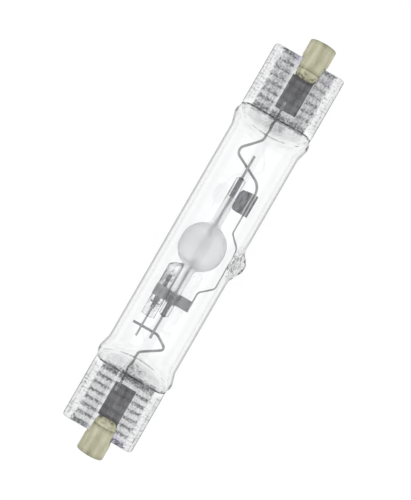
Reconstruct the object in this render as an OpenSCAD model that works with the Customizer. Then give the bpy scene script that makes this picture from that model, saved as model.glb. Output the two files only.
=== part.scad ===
// Double ended metal halide lamp: a clear quartz bulb with a ribbed pinch seal and a
// ceramic cap at each end, round a ceramic arc tube on two bent frame wires.
// Every piece is drawn in the lamp's own frame: X along the bulb's axis, Y across the flat
// of the pinches and away from the tip, Z square to that flat, the origin in the bulb's
// middle. Lay then lifts the lamp so that it lies on Z = 0 with its pinches flat, as it comes
// to rest, and centres its width. The end at negative X is called lower, the other upper.
// Places along the lamp are given for the measured length and keep their share of it.

/* [Whole lamp] */
// Length over both ceramic caps
overall_l = 135.4; // [130:0.1:145]
// Distance from the bulb's axis to the caps' axis, toward the tip
cap_offset = 1.0; // [0:0.1:1.6]

/* [Bulb] */
// Outer diameter of the tube
tube_d = 22; // [20:0.1:23]
// Wall of the tube
glass_wall = 1.25; // [0.8:0.05:1.8]
// Diameter over the swollen shoulders beside the pinches
shoulder_d = 24; // [23.6:0.1:25]
// Distance from the bulb's middle to the widest place of a shoulder
shoulder_x = 39.2; // [38:0.1:40]
// Radius of a shoulder's round back
shoulder_round = 3.5; // [3:0.1:4]
// Length of a shoulder's slope up from the tube
shoulder_run = 3.9; // [3.6:0.1:5]
// Radius of the rounded tip where the exhaust tube was melted off
tip_round = 3; // [2.4:0.1:3.4]
// Reach of the tip from the bulb's axis
tip_reach = 13.3; // [12.8:0.1:14.5]
// Place of the tip along the bulb
tip_x = 0.8; // [-3:0.1:3]
// Radius of the tip's foot on the tube
tip_foot = 4.9; // [4.2:0.1:6]

/* [Pinches] */
// Length of a cap that stands out of the glass
cap_reach = 5.9; // [5.4:0.1:6.4]
// Width of a pinch
pinch_w = 22.8; // [21:0.1:23.4]
// Thickness of the round bead along each side of a pinch
bead_d = 3.6; // [3:0.1:4.4]
// Thickness of the flat web between the ribs
web_t = 2.4; // [2.2:0.1:2.8]
// Height of a rib over the web
rib_h = 0.4; // [0.2:0.05:0.5]
// Radius of a rib's back
rib_round = 1.5; // [1.2:0.1:2]
// Number of ribs on each face of a pinch
rib_count = 7; // [4:1:7]
// Distance from one rib to the next
rib_pitch = 2.4; // [2.3:0.05:2.45]
// Distance from the bulb's middle to the first rib
first_rib_x = 45; // [44.8:0.1:45.4]

/* [Seals] */
// Length of the molybdenum foil in each pinch
foil_l = 11.2; // [9:0.1:11.4]
// Width of a foil
foil_w = 6.7; // [5:0.1:8]
// Thickness of a foil
foil_t = 0.05; // [0.03:0.01:0.1]
// Distance from the bulb's middle to a foil's inner end
foil_x = 45.4; // [44.8:0.1:46]
// Length of each wire that is welded on to its foil
weld_l = 2.7; // [1.5:0.1:3.5]
// Diameter of the short lead from a foil out to its contact
outer_lead_d = 0.8; // [0.6:0.05:0.9]

/* [Caps] */
// Diameter of a cap's head
cap_d = 8.3; // [7.8:0.1:9]
// Diameter of the two cheeks that grip the pinch
cheek_d = 7.7; // [7.2:0.1:7.8]
// Length of the cheeks on the pinch, without their tapered ends
cheek_l = 3.35; // [2.5:0.05:4]
// Length of the cheeks' tapered ends
cheek_taper = 2.4; // [1.5:0.1:2.6]
// Opening between the cheeks
slot_t = 3.4; // [3.3:0.05:3.8]
// Depth of the contact's face in its recess
recess_depth = 1.7; // [1.4:0.1:2]
// Diameter of the recess
recess_d = 5.4; // [5:0.1:6]
// Diameter of a contact
contact_d = 4.9; // [4.5:0.1:5]
// Thickness of a contact
contact_t = 1.2; // [0.8:0.1:1.5]
// Diameter of a contact's stem
stem_d = 2.8; // [2.2:0.1:3.2]
// Length of a contact's stem
stem_l = 1.8; // [1:0.1:2]

/* [Arc tube] */
// Diameter of the ceramic ball
ball_d = 13.56; // [12.5:0.02:14]
// Length of the straight part in the ball's middle
ball_straight = 0.8; // [0.2:0.1:2]
// Wall of the ball
ball_wall = 0.85; // [0.6:0.05:1.2]
// Outer diameter of the two ceramic capillaries
capillary_d = 3; // [2.6:0.1:3]
// Bore of the capillaries
capillary_bore = 1.2; // [1:0.05:1.4]
// Distance from the middle to a capillary's end
capillary_end = 22.35; // [21.8:0.05:22.8]
// Radius where a capillary meets the ball
neck_round = 1.6; // [1:0.1:2.4]
// Height of the arc tube's axis over the bulb's axis
arc_y = 0.4; // [0.3:0.1:0.4]
// Diameter of the niobium lead at each end
niobium_d = 0.75; // [0.6:0.05:0.9]
// Distance from the middle to a niobium lead's outer end
niobium_end = 30.1; // [29.6:0.1:30.6]
// Length of the solder glass in a capillary
frit_l = 5.85; // [4:0.05:7]
// Diameter of the feedthrough and of the electrode
rod_d = 0.5; // [0.4:0.05:0.6]
// Distance between the electrodes' tips
arc_gap = 7.2; // [6:0.1:9]
// Place where an electrode meets its feedthrough
electrode_end = 9.5; // [9:0.1:11]
// Diameter of the wire wound on an electrode's tip
winding_wire_d = 0.24; // [0.2:0.01:0.3]
// Number of turns on an electrode's tip
winding_turns = 6; // [4:1:7]

/* [Frame wires] */
// Diameter of the two frame wires
frame_wire_d = 0.75; // [0.65:0.05:0.8]
// Diameter of the starting wire
starting_wire_d = 0.5; // [0.4:0.05:0.5]

/* [Getter] */
// Diameter of the getter's cup
getter_d = 6.6; // [6:0.1:7]
// Height of the cup
getter_h = 0.9; // [0.8:0.05:1.1]
// Thickness of the cup's sheet
getter_sheet = 0.2; // [0.15:0.01:0.25]
// Angle of the cup's face from the plane of the pinches
getter_tilt = 70; // [62:1:74]
// Place of the getter along the bulb
getter_x = 17.1; // [16.6:0.1:17.6]
// Length of the folded strip that holds the getter on its wire
holder_l = 6.8; // [6:0.1:7.2]
// Width of the strip's fold across the wire
holder_w = 2.4; // [1.8:0.1:2.6]
// Thickness of the strip metal
strip_t = 0.15; // [0.1:0.01:0.16]

/* [Enhancer] */
// Outer diameter of the small quartz capsule
capsule_d = 4.2; // [3.8:0.1:4.2]
// Wall of the capsule
capsule_wall = 0.55; // [0.4:0.05:0.8]
// Thickness of the capsule's flattened end
capsule_press_t = 1.9; // [1.5:0.1:2.4]
// Height of the capsule's axis over the bulb's axis
capsule_y = 4.25; // [4.25:0.05:4.5]
// Diameter of the capsule's lead
capsule_lead_d = 0.6; // [0.5:0.05:0.65]
// Width of the strip that holds the capsule
band_w = 3.4; // [2.8:0.1:3.8]
// Place of the strip's middle along the bulb
band_x = -16.8; // [-17.4:0.1:-16.2]

/* [Clearances] */
// Gap left round a lead that is sealed into glass
seal_gap = 0.01; // [0.005:0.005:0.03]
// Gap left round a piece that slides into another
slip_gap = 0.05; // [0.02:0.01:0.1]

/* [Hidden] */
$fn = 64;
measured_l = 135.4;
tube_r = tube_d / 2;
shoulder_r = shoulder_d / 2;
shoulder_mid_r = shoulder_r - shoulder_round;
tip_centre = tip_reach - tip_round;
cap_end = overall_l / 2;
glass_end = cap_end - at(cap_reach);

// The side view's slope from tube to pinch passes the tube's surface at slope_x.
slope_x = at(36.5);
slope_run = at(6.08);
slope_round = 1.6;
slope_top = shoulder_r + 1;
web_start = at(43.6);
slope_rise = 0.25;
root_z = web_t / 2 + slope_rise;
slope_angle = atan2(tube_r - root_z, slope_run);
pinch_start = at(41.5);
// A shoulder's slope meets that slope in a crease, on which the lamp lies.
shoulder_foot = [at(shoulder_x - shoulder_run), tube_r];
shoulder_middle = [at(shoulder_x), shoulder_mid_r];
shoulder_reach = shoulder_middle - shoulder_foot;
shoulder_angle = atan2(shoulder_reach[1], shoulder_reach[0]) + asin(shoulder_round / norm(shoulder_reach));
rest_h = tube_r + (slope_x - shoulder_foot[0]) * tan(shoulder_angle) * tan(slope_angle)
    / (tan(shoulder_angle) + tan(slope_angle));
rest_shift = (tip_reach - shoulder_r) / 2;
pinch_corner = 1.2;
bead_y = (pinch_w - bead_d) / 2;
cavity_end = at(41.6);
exhaust_foot_r = 3.2;
exhaust_end_r = 0.2;
tip_sink = 0.5;

bend_step = 12;
wire_sides = 12;
foil_y = -0.7;
wire_z = (foil_t + frame_wire_d) / 2;
outer_lead_z = -(foil_t + outer_lead_d) / 2;
arc_z = wire_z + (frame_wire_d + niobium_d) / 2;
capsule_lead_z = wire_z + (frame_wire_d + capsule_lead_d) / 2;
capsule_z = capsule_lead_z - (foil_t + capsule_lead_d) / 2;
// The band lies behind the capillary, and leaves room for the starting wire behind the frame wire.
band_z = min(arc_z - capillary_d / 2 - slip_gap, wire_z - frame_wire_d / 2 - starting_wire_d - seal_gap);
starting_z = band_z + starting_wire_d / 2;

cap_root = glass_end + 0.2;
head_start = glass_end + 1;
lead_seat = 0.4;
cement_inset = 0.3;
cheek_end = glass_end - cheek_l;
cap_edge = 0.4;
contact_face = cap_end - recess_depth;
contact_back = contact_face - contact_t;
stem_end = contact_back - stem_l;
lead_end = contact_back + lead_seat;
outer_lead_start = at(foil_x + foil_l) - weld_l / 2;

frit_start = at(capillary_end) - frit_l;
frit_bead = 0.55;
frit_inset = 0.5;
frit_collar = 0.2;
electrode_tip = arc_gap / 2;
winding_gap = 0.02;
winding_pitch = winding_wire_d + winding_gap;

// Corners of the bent wires and the radius of each bend, the ends of a wire having none.
upper_lead_y = 0.45;
upper_path = [[at(foil_x) + weld_l, upper_lead_y], [at(35.5), upper_lead_y], [at(29.2), 6.3],
    [at(23.2), -5.2], [at(17.3), -5.2]];
upper_bends = [0, 1.5, 1.9, 4.6, 0];
lower_lead_y = 1.29;
hook_x = at(-28.2);
lower_path = [[-at(foil_x) - weld_l, lower_lead_y], [at(-35.2), lower_lead_y], [at(-30.95), -5.2],
    [hook_x, -1], [hook_x, 7.1]];
lower_bends = [0, 1.4, 0.9, 2.6, 0];
starting_clear = 0.6;
starting_low_y = -(tube_r - glass_wall - starting_wire_d / 2 - starting_clear);
starting_path = [[at(20.2), -5.2], [at(7.8), -5.2], [at(4.3), starting_low_y + 0.2],
    [at(-8.6), starting_low_y], [at(-12), -5.05], [at(-18.4), -5.05]];
starting_bends = [0, 1.6, 2.6, 1.6, 1.4, 0];

holder_y = upper_path[4][1];
holder_hollow = holder_w - 2 * strip_t;
holder_back = band_z - strip_t;
holder_front = wire_z + frame_wire_d / 2 + slip_gap;
holder_face = holder_front + strip_t;
plate_rim = 0.1;
plate_d = getter_d + 2 * plate_rim;
cup_rim_gap = 0.15;
cup_place = getter_d / 2 + cup_rim_gap;
cup_boss = 1.2;

capsule_left = at(-25);
capsule_right = at(-6.85);
capsule_press_end = at(-19.4);
capsule_press_run = 1.5;
capsule_bore_start = capsule_press_end + 0.8;
capsule_foil = [at(-22.3), at(-11.3)];
capsule_foil_w = 1.3;
capsule_lead = [at(-31.4), at(-21.2)];
flag_bottom = -5.35;

// A place along the lamp, kept at its share of the whole length.
function at(x) = x * overall_l / measured_l;

// Lays the lamp down flat, with its width centred.
module lay() translate([0, rest_shift, rest_h]) children();

// Draws the same thing at the other end.
module other_end() mirror([1, 0, 0]) children();

// Turns a profile of radius against length round the X axis.
module turned_x() rotate([0, 90, 0]) rotate_extrude() children();

// Draws a section of Y and Z along X from a to b.
module run_x(a, b) translate([a, 0, 0]) rotate([90, 0, 90]) linear_extrude(b - a) children();

// Draws a side view of X and Z across Y, w wide about the middle.
module run_y(w) rotate([90, 0, 0]) linear_extrude(w, center = true) children();

// A round rod along X from a to b, at a height y and a depth z.
module rod_x(a, b, d, y = 0, z = 0) translate([a, y, z]) rotate([0, 90, 0]) cylinder(d = d, h = b - a);

// Mirrors a flat shape across its first axis and keeps both.
module both_sides() {
    children();
    mirror([0, 1]) children();
}

// Faces of a tube through rings of points, closed by its first and last rings.
function tube_faces(rings, sides) = concat(
    [[for (j = [sides - 1 : -1 : 0]) j]],
    [for (i = [0 : rings - 2], j = [0 : sides - 1]) let(k = (j + 1) % sides)
        [i * sides + j, i * sides + k, (i + 1) * sides + k, (i + 1) * sides + j]],
    [[for (j = [0 : sides - 1]) (rings - 1) * sides + j]]);

function unit(a, b) = (b - a) / norm(b - a);
function turn(a, b) = atan2(a[0] * b[1] - a[1] * b[0], a * b);
function turned(a, angle) = [a[0] * cos(angle) - a[1] * sin(angle), a[0] * sin(angle) + a[1] * cos(angle)];

// Places and directions along one bend: an arc that touches both straights at a corner.
function bend(before, corner, after, radius) = let(
    angle = turn(before, after),
    start = corner - before * radius * tan(abs(angle) / 2),
    centre = start + turned(before, 90) * radius * sign(angle),
    steps = ceil(abs(angle) / bend_step))
    [for (i = [0 : steps]) let(a = angle * i / steps)
        [centre + turned(start - centre, a), turned(before, a)]];

// Places and directions along a whole wire, from the corners of its path.
function along(path, bends) = let(last = len(path) - 1) concat(
    [[path[0], unit(path[0], path[1])]],
    [for (i = [1 : last - 1])
        each bend(unit(path[i - 1], path[i]), path[i], unit(path[i], path[i + 1]), bends[i])],
    [[path[last], unit(path[last - 1], path[last])]]);

// A wire bent in one plane, at a depth z, along the corners of a path.
module bent_wire(path, bends, d, z) {
    places = along(path, bends);
    points = [for (p = places, j = [0 : wire_sides - 1]) let(
        a = 360 * j / wire_sides,
        side = p[0] + turned(p[1], 90) * cos(a) * d / 2)
        [side[0], side[1], z - sin(a) * d / 2]];
    polyhedron(points, tube_faces(len(places), wire_sides));
}

// Half outline of the bulb turned about its axis, inset by the wall for the hollow.
module bulb_outline(inset) {
    back = shoulder_round - inset;
    foot = [shoulder_foot[0], tube_r - inset];
    middle = shoulder_middle;
    to_middle = middle - foot;
    slope = atan2(to_middle[1], to_middle[0]) + asin(back / norm(to_middle));
    run = sqrt(to_middle * to_middle - back * back);
    intersection() {
        union() {
            translate([0, -middle[0]]) square([middle[1], 2 * middle[0]]);
            for (side = [-1, 1]) {
                translate([middle[1], side * middle[0]]) circle(back);
                polygon([[0, 0], [foot[1], 0], [foot[1], side * foot[0]],
                    [foot[1] + run * sin(slope), side * (foot[0] + run * cos(slope))],
                    [middle[1], side * middle[0]], [0, side * middle[0]]]);
                translate([0, side * middle[0] - (side > 0 ? 0 : shoulder_round)])
                    square([middle[1], shoulder_round]);
            }
        }
        translate([0, -glass_end]) square([slope_top, 2 * glass_end]);
    }
}

// Place along the bulb where the slope, set in by a wall, has a height z.
function slope_at(z, inset) = slope_x - inset / sin(slope_angle) + (tube_r - z) / tan(slope_angle);

// Side view of the bulb: open over the tube, sloping down to the thickness of the pinch,
// with a hollow fillet at the slope's root.
module slope_outline() {
    foot_x = slope_at(root_z, 0);
    tangent = slope_round * tan(slope_angle / 2);
    both_sides() for (side = [0, 1]) mirror([side, 0]) difference() {
        polygon([[-1, -1], [-1, slope_top], [slope_at(slope_top, 0), slope_top],
            [foot_x - tangent * cos(slope_angle), root_z + tangent * sin(slope_angle)],
            [foot_x + tangent, root_z], [web_start, root_z], [web_start, -1]]);
        translate([foot_x + tangent, root_z + slope_round]) circle(slope_round);
    }
}

// Side view of the hollow: the same slope set in by the wall, cut off short of the web.
module hollow_slope() {
    end_z = tube_r - (cavity_end - slope_at(tube_r, glass_wall)) * tan(slope_angle);
    both_sides() for (side = [0, 1]) mirror([side, 0])
        polygon([[-1, -1], [-1, slope_top], [slope_at(slope_top, glass_wall), slope_top],
            [cavity_end, end_z], [cavity_end, -1]]);
}

// One pinch: a bead along each side, and between them a web with ribs on both faces.
module pinch() intersection() {
    union() {
        run_x(pinch_start, glass_end) {
            for (side = [-1, 1]) translate([side * bead_y, 0]) circle(d = bead_d);
            square([2 * bead_y, web_t], center = true);
        }
        run_y(2 * bead_y) both_sides() intersection() {
            for (i = [0 : rib_count - 1])
                translate([at(first_rib_x + i * rib_pitch), web_t / 2 + rib_h - rib_round])
                    circle(rib_round);
            translate([web_start, -1]) square([glass_end - web_start, web_t + 1]);
        }
    }
    translate([0, 0, -bead_d]) linear_extrude(2 * bead_d) pinch_outline();
}

// Front view of a pinch, with its corners rounded.
module pinch_outline() {
    translate([pinch_start, -pinch_w / 2 + pinch_corner])
        square([glass_end - pinch_start, pinch_w - 2 * pinch_corner]);
    translate([pinch_start + pinch_corner, -pinch_w / 2])
        square([glass_end - pinch_start - 2 * pinch_corner, pinch_w]);
    for (x = [pinch_start + pinch_corner, glass_end - pinch_corner], side = [-1, 1])
        translate([x, side * (pinch_w / 2 - pinch_corner)]) circle(pinch_corner);
}

// The melted tip, turned about its own axis: a cone from its foot to a round end.
module tip(round, foot, base) {
    to_centre = norm([foot, tip_centre - base]);
    slope = asin(round / to_centre) + atan2(tip_centre - base, foot);
    run = sqrt(to_centre * to_centre - round * round);
    translate([at(tip_x), 0, 0]) rotate([90, 0, 0]) rotate_extrude() intersection() {
        union() {
            translate([0, tip_centre]) circle(round);
            polygon([[0, tube_r / 2], [foot, tube_r / 2], [foot, base],
                [foot - run * cos(slope), base + run * sin(slope)], [0, tip_centre]]);
        }
        square([foot, tip_reach + 1]);
    }
}

// The hollow of the bulb, with the fine end of the exhaust hole in the tip.
module hollow() {
    intersection() {
        turned_x() bulb_outline(glass_wall);
        run_y(shoulder_d) hollow_slope();
    }
    translate([at(tip_x), 0, 0]) rotate([90, 0, 0])
        cylinder(r1 = exhaust_foot_r, r2 = exhaust_end_r, h = tip_reach - glass_wall);
}

// The foil and the two leads of one pinch, a little larger all round, to cut from the glass.
module sealed_in(lead_y, gap) {
    translate([at(foil_x) - gap, foil_y - foil_w / 2 - gap, -foil_t / 2 - gap])
        cube([at(foil_l) + 2 * gap, foil_w + 2 * gap, foil_t + 2 * gap]);
    rod_x(cavity_end - 1, at(foil_x) + weld_l + gap, frame_wire_d + 2 * gap, lead_y, wire_z);
    rod_x(outer_lead_start - gap, glass_end + 1, outer_lead_d + 2 * gap, -cap_offset, outer_lead_z);
}

module outer_bulb() color("#e8eef0") lay() difference() {
    union() {
        intersection() {
            turned_x() bulb_outline(0);
            run_y(shoulder_d) slope_outline();
        }
        pinch();
        other_end() pinch();
        tip(tip_round, tip_foot, tube_r - tip_sink);
    }
    hollow();
    sealed_in(upper_lead_y, seal_gap);
    other_end() sealed_in(lower_lead_y, seal_gap);
}

// Profile of a cap, turned about the caps' axis.
module cap_profile() {
    cheek_r = cheek_d / 2;
    head_r = cap_d / 2;
    polygon([[0, cheek_end - cheek_taper], [slot_t / 2, cheek_end - cheek_taper],
        [cheek_r, cheek_end], [cheek_r, cap_root], [head_r, head_start],
        [head_r, cap_end - cap_edge], [head_r - cap_edge, cap_end], [0, cap_end]]);
}

module cap() translate([0, -cap_offset, 0]) difference() {
    turned_x() cap_profile();
    translate([cheek_end - cheek_taper - 1, -cap_d, -slot_t / 2])
        cube([cap_root - cheek_end + cheek_taper + 1, 2 * cap_d, slot_t]);
    rod_x(contact_face, cap_end + 1, recess_d);
    rod_x(contact_back, contact_face + 0.1, contact_d + 2 * slip_gap);
    rod_x(glass_end, contact_back + 1, stem_d + 2 * slip_gap);
}

module lower_cap() color("#c9c7a2") lay() other_end() cap();
module upper_cap() color("#c9c7a2") lay() cap();

// Cement between the cheeks and the web, and behind the contact's stem.
module cement() difference() {
    translate([0, -cap_offset, 0]) union() {
        intersection() {
            rod_x(cheek_end, cap_root, cheek_d - cement_inset);
            translate([cheek_end, -cap_d, -slot_t / 2]) cube([cap_root - cheek_end, 2 * cap_d, slot_t]);
        }
        rod_x(cap_root - 0.1, stem_end, stem_d + 2 * slip_gap);
    }
    pinch();
    rod_x(glass_end - 1, cap_end, outer_lead_d + 2 * seal_gap, -cap_offset, outer_lead_z);
}

module lower_cement() color("#d8d6bd") lay() other_end() cement();
module upper_cement() color("#d8d6bd") lay() cement();

// A contact: a disc at the bottom of the recess, with a stem that takes the lead.
module contact() difference() {
    union() {
        rod_x(contact_back, contact_face, contact_d, -cap_offset);
        rod_x(stem_end, contact_back + 0.1, stem_d, -cap_offset);
    }
    rod_x(stem_end - 1, lead_end, outer_lead_d + 2 * seal_gap, -cap_offset, outer_lead_z);
}

module lower_contact() color("#b9b9b4") lay() other_end() contact();
module upper_contact() color("#b9b9b4") lay() contact();

module outer_lead() rod_x(outer_lead_start, lead_end, outer_lead_d, -cap_offset, outer_lead_z);

module lower_outer_lead() color("#8c8c8e") lay() other_end() outer_lead();
module upper_outer_lead() color("#8c8c8e") lay() outer_lead();

module foil() translate([at(foil_x), foil_y - foil_w / 2, -foil_t / 2]) cube([at(foil_l), foil_w, foil_t]);

module lower_foil() color("#6a6a6d") lay() other_end() foil();
module upper_foil() color("#6a6a6d") lay() foil();

module lower_frame_wire() color("#8f9092") lay() bent_wire(lower_path, lower_bends, frame_wire_d, wire_z);
module upper_frame_wire() color("#8f9092") lay() bent_wire(upper_path, upper_bends, frame_wire_d, wire_z);

// Places what is drawn about the X axis on the arc tube's axis.
module on_arc_axis() translate([0, arc_y, arc_z]) children();

// Half outline of the arc tube, with a hollow fillet where each capillary leaves the ball.
module arc_tube_outline() {
    ball_r = ball_d / 2;
    capillary_r = capillary_d / 2;
    fillet_r = capillary_r + neck_round;
    fillet_y = sqrt(pow(ball_r + neck_round, 2) - fillet_r * fillet_r);
    touch_r = fillet_r * ball_r / (ball_r + neck_round);
    intersection() {
        translate([0, -at(capillary_end)]) square([ball_d, 2 * at(capillary_end)]);
        union() {
            translate([0, -at(capillary_end)]) square([capillary_r, 2 * at(capillary_end)]);
            translate([0, -ball_straight / 2]) square([ball_r, ball_straight]);
            for (side = [-1, 1]) translate([0, side * ball_straight / 2]) scale([1, side]) {
                circle(ball_r);
                difference() {
                    polygon([[0, 0], [touch_r, fillet_y * ball_r / (ball_r + neck_round)],
                        [fillet_r, fillet_y], [capillary_r, fillet_y], [0, fillet_y]]);
                    translate([fillet_r, fillet_y]) circle(neck_round);
                }
            }
        }
    }
}

module arc_tube_hollow() {
    inner_r = ball_d / 2 - ball_wall;
    for (side = [-1, 1]) translate([side * ball_straight / 2, 0, 0]) sphere(inner_r);
    rod_x(-ball_straight / 2, ball_straight / 2, 2 * inner_r);
    rod_x(-at(capillary_end) - 1, at(capillary_end) + 1, capillary_bore);
}

module arc_tube() color("#f2f1ec") lay() on_arc_axis() difference() {
    turned_x() arc_tube_outline();
    arc_tube_hollow();
}

// Solder glass in a capillary's end, with a small bead outside.
module frit_seal() on_arc_axis() difference() {
    union() {
        rod_x(frit_start, at(capillary_end), capillary_bore);
        translate([at(capillary_end), 0, 0]) rotate([0, 90, 0])
            cylinder(d1 = capillary_d - frit_inset, d2 = niobium_d + frit_collar, h = frit_bead);
    }
    rod_x(frit_start - 1, at(capillary_end) + 2, niobium_d);
}

module lower_frit_seal() color("#57585a") lay() other_end() frit_seal();
module upper_frit_seal() color("#57585a") lay() frit_seal();

module niobium_lead() on_arc_axis() rod_x(frit_start, at(niobium_end), niobium_d);

module lower_niobium_lead() color("#9a9a9b") lay() other_end() niobium_lead();
module upper_niobium_lead() color("#9a9a9b") lay() niobium_lead();

module feedthrough() on_arc_axis() rod_x(at(electrode_end), frit_start, rod_d);

module lower_feedthrough() color("#77787b") lay() other_end() feedthrough();
module upper_feedthrough() color("#77787b") lay() feedthrough();

module electrode() on_arc_axis() rod_x(electrode_tip, at(electrode_end), rod_d);

module lower_electrode() color("#6f6f72") lay() other_end() electrode();
module upper_electrode() color("#6f6f72") lay() electrode();

// Wire wound on an electrode's tip: a ring of points carried along a helix.
module electrode_winding() {
    sides = 8;
    steps = 14;
    wire_r = winding_wire_d / 2;
    coil_r = rod_d / 2 + wire_r + seal_gap;
    rings = winding_turns * steps;
    points = [for (i = [0 : rings]) let(a = 360 * i / steps)
        for (j = [0 : sides - 1]) let(r = coil_r + wire_r * cos(360 * j / sides))
            [electrode_tip + wire_r + winding_pitch * i / steps + wire_r * sin(360 * j / sides),
                r * cos(a), r * sin(a)]];
    on_arc_axis() polyhedron(points, tube_faces(rings + 1, sides));
}

module lower_electrode_winding() color("#6f6f72") lay() other_end() electrode_winding();
module upper_electrode_winding() color("#6f6f72") lay() electrode_winding();

// Places what is drawn round Z on the getter's plate, its seat at Z = 0.
module on_plate() translate([at(getter_x), holder_y + holder_w / 2, holder_face])
    rotate([-getter_tilt, 0, 0]) children();

module getter_cup() color("#7d8286") lay() on_plate() translate([0, cup_place, 0]) difference() {
    cylinder(d = getter_d, h = getter_h);
    difference() {
        translate([0, 0, getter_sheet]) cylinder(d = getter_d - 2 * getter_sheet, h = getter_h);
        cylinder(r = cup_boss, h = getter_h * 2);
    }
    translate([0, 0, -1]) cylinder(r = cup_boss - getter_sheet, h = getter_h + 1 - getter_sheet);
}

module getter_fill()
    color("#6c7074") lay() on_plate() translate([0, cup_place, getter_sheet]) difference() {
    cylinder(d = getter_d - 2 * getter_sheet, h = getter_h / 2);
    translate([0, 0, -1]) cylinder(r = cup_boss, h = getter_h + 2);
}

// The strip folded round both wires, and from its front edge the plate that carries the cup.
module getter_holder() color("#85878a") lay() {
    run_x(at(getter_x) - holder_l / 2, at(getter_x) + holder_l / 2) translate([holder_y, 0]) difference() {
        translate([-holder_w / 2, holder_back]) square([holder_w, holder_face - holder_back]);
        translate([-holder_hollow / 2, band_z]) square([holder_hollow, holder_front - band_z]);
    }
    on_plate() translate([0, 0, -strip_t]) {
        translate([-plate_d / 2, 0, 0]) cube([plate_d, cup_place, strip_t]);
        translate([0, cup_place, 0]) cylinder(d = plate_d, h = strip_t);
    }
}

module starting_wire()
    color("#8f9092") lay() bent_wire(starting_path, starting_bends, starting_wire_d, starting_z);

// Places what is drawn about the X axis on the capsule's axis.
module on_capsule_axis() translate([0, capsule_y, capsule_z]) children();

// A small quartz tube, rounded at one end and pressed flat over its foil at the other.
module enhancer_capsule() color("#e4ecee") lay() difference() {
    inner_r = capsule_d / 2 - capsule_wall;
    round_x = capsule_right - capsule_d / 2;
    press = capsule_press_t / 2;
    on_capsule_axis() {
        rod_x(capsule_left, round_x, capsule_d);
        translate([round_x, 0, 0]) sphere(d = capsule_d);
    }
    on_capsule_axis() run_y(capsule_d + 1) both_sides() polygon([[capsule_left - 1, press],
        [capsule_press_end - capsule_press_run, press], [capsule_press_end, capsule_d],
            [capsule_left - 1, capsule_d]]);
    on_capsule_axis() {
        rod_x(capsule_bore_start, round_x, 2 * inner_r);
        translate([round_x, 0, 0]) sphere(inner_r);
        translate([capsule_foil[0] - seal_gap, -capsule_foil_w / 2 - seal_gap, -foil_t / 2 - seal_gap])
            cube([capsule_foil[1] - capsule_foil[0], capsule_foil_w + 2 * seal_gap, foil_t + 2 * seal_gap]);
    }
    rod_x(capsule_left - 1, capsule_lead[1] + seal_gap, capsule_lead_d + 2 * seal_gap,
        capsule_y, capsule_lead_z);
}

module enhancer_foil() color("#6a6a6d") lay() on_capsule_axis()
    translate([capsule_foil[0], -capsule_foil_w / 2, -foil_t / 2])
        cube([capsule_foil[1] - capsule_foil[0], capsule_foil_w, foil_t]);

module enhancer_lead() color("#8c8c8e") lay()
    rod_x(capsule_lead[0], capsule_lead[1], capsule_lead_d, capsule_y, capsule_lead_z);

// A strip that runs round the capsule, down behind the capillary, and ends in a flag.
module enhancer_band() color("#6f7174") lay()
    run_x(at(band_x) - band_w / 2, at(band_x) + band_w / 2) difference() {
    union() {
        translate([capsule_y, capsule_z]) circle(d = capsule_d + 2 * seal_gap + 2 * strip_t);
        translate([flag_bottom, band_z - strip_t])
            square([capsule_y - flag_bottom - capsule_d / 4, strip_t]);
    }
    translate([capsule_y, capsule_z]) circle(d = capsule_d + 2 * seal_gap);
}

outer_bulb();
lower_cap();
upper_cap();
lower_cement();
upper_cement();
lower_contact();
upper_contact();
lower_outer_lead();
upper_outer_lead();
lower_foil();
upper_foil();
lower_frame_wire();
upper_frame_wire();
arc_tube();
lower_frit_seal();
upper_frit_seal();
lower_niobium_lead();
upper_niobium_lead();
lower_feedthrough();
upper_feedthrough();
lower_electrode();
upper_electrode();
lower_electrode_winding();
upper_electrode_winding();
getter_cup();
getter_fill();
getter_holder();
starting_wire();
enhancer_capsule();
enhancer_foil();
enhancer_lead();
enhancer_band();
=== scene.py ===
import math

import bmesh
import bpy
import numpy as np
from mathutils import Matrix, Vector, noise


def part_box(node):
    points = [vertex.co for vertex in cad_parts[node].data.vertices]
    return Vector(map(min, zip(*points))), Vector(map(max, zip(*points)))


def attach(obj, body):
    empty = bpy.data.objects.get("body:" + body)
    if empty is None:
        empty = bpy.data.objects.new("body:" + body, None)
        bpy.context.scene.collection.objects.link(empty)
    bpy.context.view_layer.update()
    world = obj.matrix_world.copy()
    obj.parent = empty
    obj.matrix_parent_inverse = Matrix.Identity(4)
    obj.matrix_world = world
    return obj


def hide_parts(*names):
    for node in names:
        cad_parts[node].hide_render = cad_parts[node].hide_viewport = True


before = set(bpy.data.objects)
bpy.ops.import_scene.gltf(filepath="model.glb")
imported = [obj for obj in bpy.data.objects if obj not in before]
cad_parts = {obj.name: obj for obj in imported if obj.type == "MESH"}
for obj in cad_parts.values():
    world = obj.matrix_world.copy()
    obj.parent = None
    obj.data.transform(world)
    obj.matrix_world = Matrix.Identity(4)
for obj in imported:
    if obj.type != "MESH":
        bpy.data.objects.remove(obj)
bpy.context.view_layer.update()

# All shapes are drawn in millimetres in the lamp's own frame: X along the bulb, Y across the
# flat of the pinches and away from the tip, Z square to that flat.
MM = 0.001

# The blown tube and its shoulders
TUBE_R = 11.0
WALL = 1.25
SHOULDER_R = 12.0
SHOULDER_X = 39.2
SHOULDER_ROUND = 3.5
SHOULDER_FOOT = 35.3

# The slope that runs down from the tube to the pinch
SLOPE_X = 36.5
SLOPE_FALL = 1.571
ROOT_Z = 1.45

# The pinch, with a notch in its sides at the shoulder, beads along them and ribs between
PINCH_START = 41.2
PINCH_FULL = 42.0
GLASS_END = 61.8
PINCH_HALF = 11.4
CORNER = 1.0
NOTCH_X = 42.1
NOTCH = 0.1
BEAD_R = 1.8
WEB = 1.2
RIB_H = 0.4
RIB_ROUND = 1.5
RIB_X = 45.0
RIB_PITCH = 2.4
RIB_COUNT = 7
RIB_REACH = 7.5

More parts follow.
